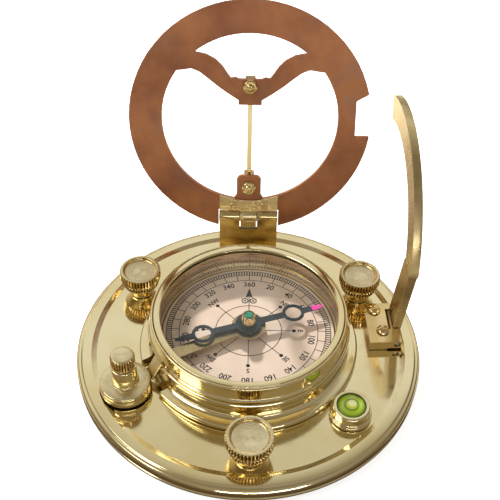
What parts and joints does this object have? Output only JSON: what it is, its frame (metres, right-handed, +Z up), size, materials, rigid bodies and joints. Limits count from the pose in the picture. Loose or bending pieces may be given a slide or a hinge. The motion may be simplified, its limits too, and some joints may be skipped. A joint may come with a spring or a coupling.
{
  "type": "sundial compass",
  "caption": "Brass sundial compass on levelling screws, with a folding copper hour ring, a swinging latitude arc, a bullseye level and a lockable magnetic needle.",
  "frame": {"origin": "centre of the round plate, at the level of the surface that the three levelling screw tips stand on", "axes": "+Z up, +X towards the latitude arc, +Y towards the hour ring's hinge"},
  "size_m": [0.127, 0.1439, 0.1089],
  "materials": {
    "polished_brass": "polished and lacquered",
    "satin_brass": "satin",
    "aged_copper": "satin, darkened copper",
    "blued_steel": "blued",
    "steel": "bright turned",
    "dial_enamel": "cream enamel, printed in black",
    "clear_glass": "polished",
    "green_jewel": "glossy green stone",
    "level_fluid": "clear vial with yellow-green fluid"
  },
  "bodies": {
    "base": {"base_plate": "polished_brass", "compass_bowl": "polished_brass", "bowl_screw_1": "steel", "bowl_screw_2": "steel", "bowl_screw_3": "steel", "bezel": "polished_brass", "crystal": "clear_glass", "glass_ring": "polished_brass", "dial_plate": "dial_enamel", "pivot_pin": "polished_brass", "lifter_pin": "steel", "lock_pillar": "polished_brass", "level_housing": "polished_brass", "level_vial": "level_fluid", "hinge_base_leaf": "polished_brass", "hinge_screw_1": "polished_brass", "hinge_screw_2": "polished_brass", "hinge_pin": "steel", "arc_bracket": "polished_brass", "arc_bracket_screw_1": "satin_brass", "arc_bracket_screw_2": "satin_brass", "arc_pin": "steel"},
    "hour_ring": {"hour_ring": "aged_copper", "hinge_ring_leaf": "polished_brass", "leaf_rivet_1": "polished_brass", "leaf_rivet_2": "polished_brass", "gnomon_foot_lower": "polished_brass", "gnomon_foot_upper": "polished_brass", "gnomon_nut_lower": "polished_brass", "gnomon_nut_upper": "polished_brass"},
    "gnomon": {"gnomon": "polished_brass"},
    "latitude_arc": {"arc_arm": "satin_brass", "latitude_arc": "satin_brass"},
    "needle": {"needle_blade": "blued_steel", "needle_cap": "polished_brass", "cap_jewel": "green_jewel"},
    "lifter": {"needle_lifter": "polished_brass"},
    "lock_screw": {"lock_spindle": "steel", "lock_knob": "polished_brass"},
    "leveller_front": {"leveller_spindle_front": "steel", "leveller_knob_front": "polished_brass"},
    "leveller_right": {"leveller_spindle_right": "steel", "leveller_knob_right": "polished_brass"},
    "leveller_left": {"leveller_spindle_left": "steel", "leveller_knob_left": "polished_brass"}
  },
  "joints": [
    {"name": "hour_ring_hinge", "type": "hinge", "parent": "base", "child": "hour_ring", "pos_m": [-0.0009, 0.0507, 0.0262], "axis": [1, 0, 0], "range_deg": [-6, 104.2]},
    {"name": "gnomon_fold", "type": "hinge", "parent": "hour_ring", "child": "gnomon", "pos_m": [-0.0009, 0.05593, 0.02488], "axis": [0, 0.2453, 0.9694], "range_deg": [0, 90]},
    {"name": "latitude_arc_hinge", "type": "hinge", "parent": "base", "child": "latitude_arc", "pos_m": [0.0544, 0.0093, 0.0107], "axis": [-0.0523, 0.9986, 0], "range_deg": [-10, 75]},
    {"name": "needle_spin", "type": "hinge", "parent": "base", "child": "needle", "pos_m": [0, 0, 0.0186], "axis": [0, 0, 1], "continuous": true},
    {"name": "lifter_tilt", "type": "hinge", "parent": "base", "child": "lifter", "pos_m": [-0.0301, -0.0158, 0.0163], "axis": [0.4648, -0.8854, 0], "range_deg": [0, 0.4]},
    {"name": "lock_turn", "type": "hinge", "parent": "base", "child": "lock_screw", "pos_m": [-0.04303, -0.02259, 0.0217], "axis": [0, 0, -1], "range_deg": [0, 200]},
    {"name": "leveller_travel_front", "type": "slide", "parent": "base", "child": "leveller_front", "axis": [0, 0, 1], "range_m": [0, 0.0028]},
    {"name": "leveller_travel_right", "type": "slide", "parent": "base", "child": "leveller_right", "axis": [0, 0, 1], "range_m": [0, 0.0028]},
    {"name": "leveller_travel_left", "type": "slide", "parent": "base", "child": "leveller_left", "axis": [0, 0, 1], "range_m": [0, 0.0028]}
  ]
}
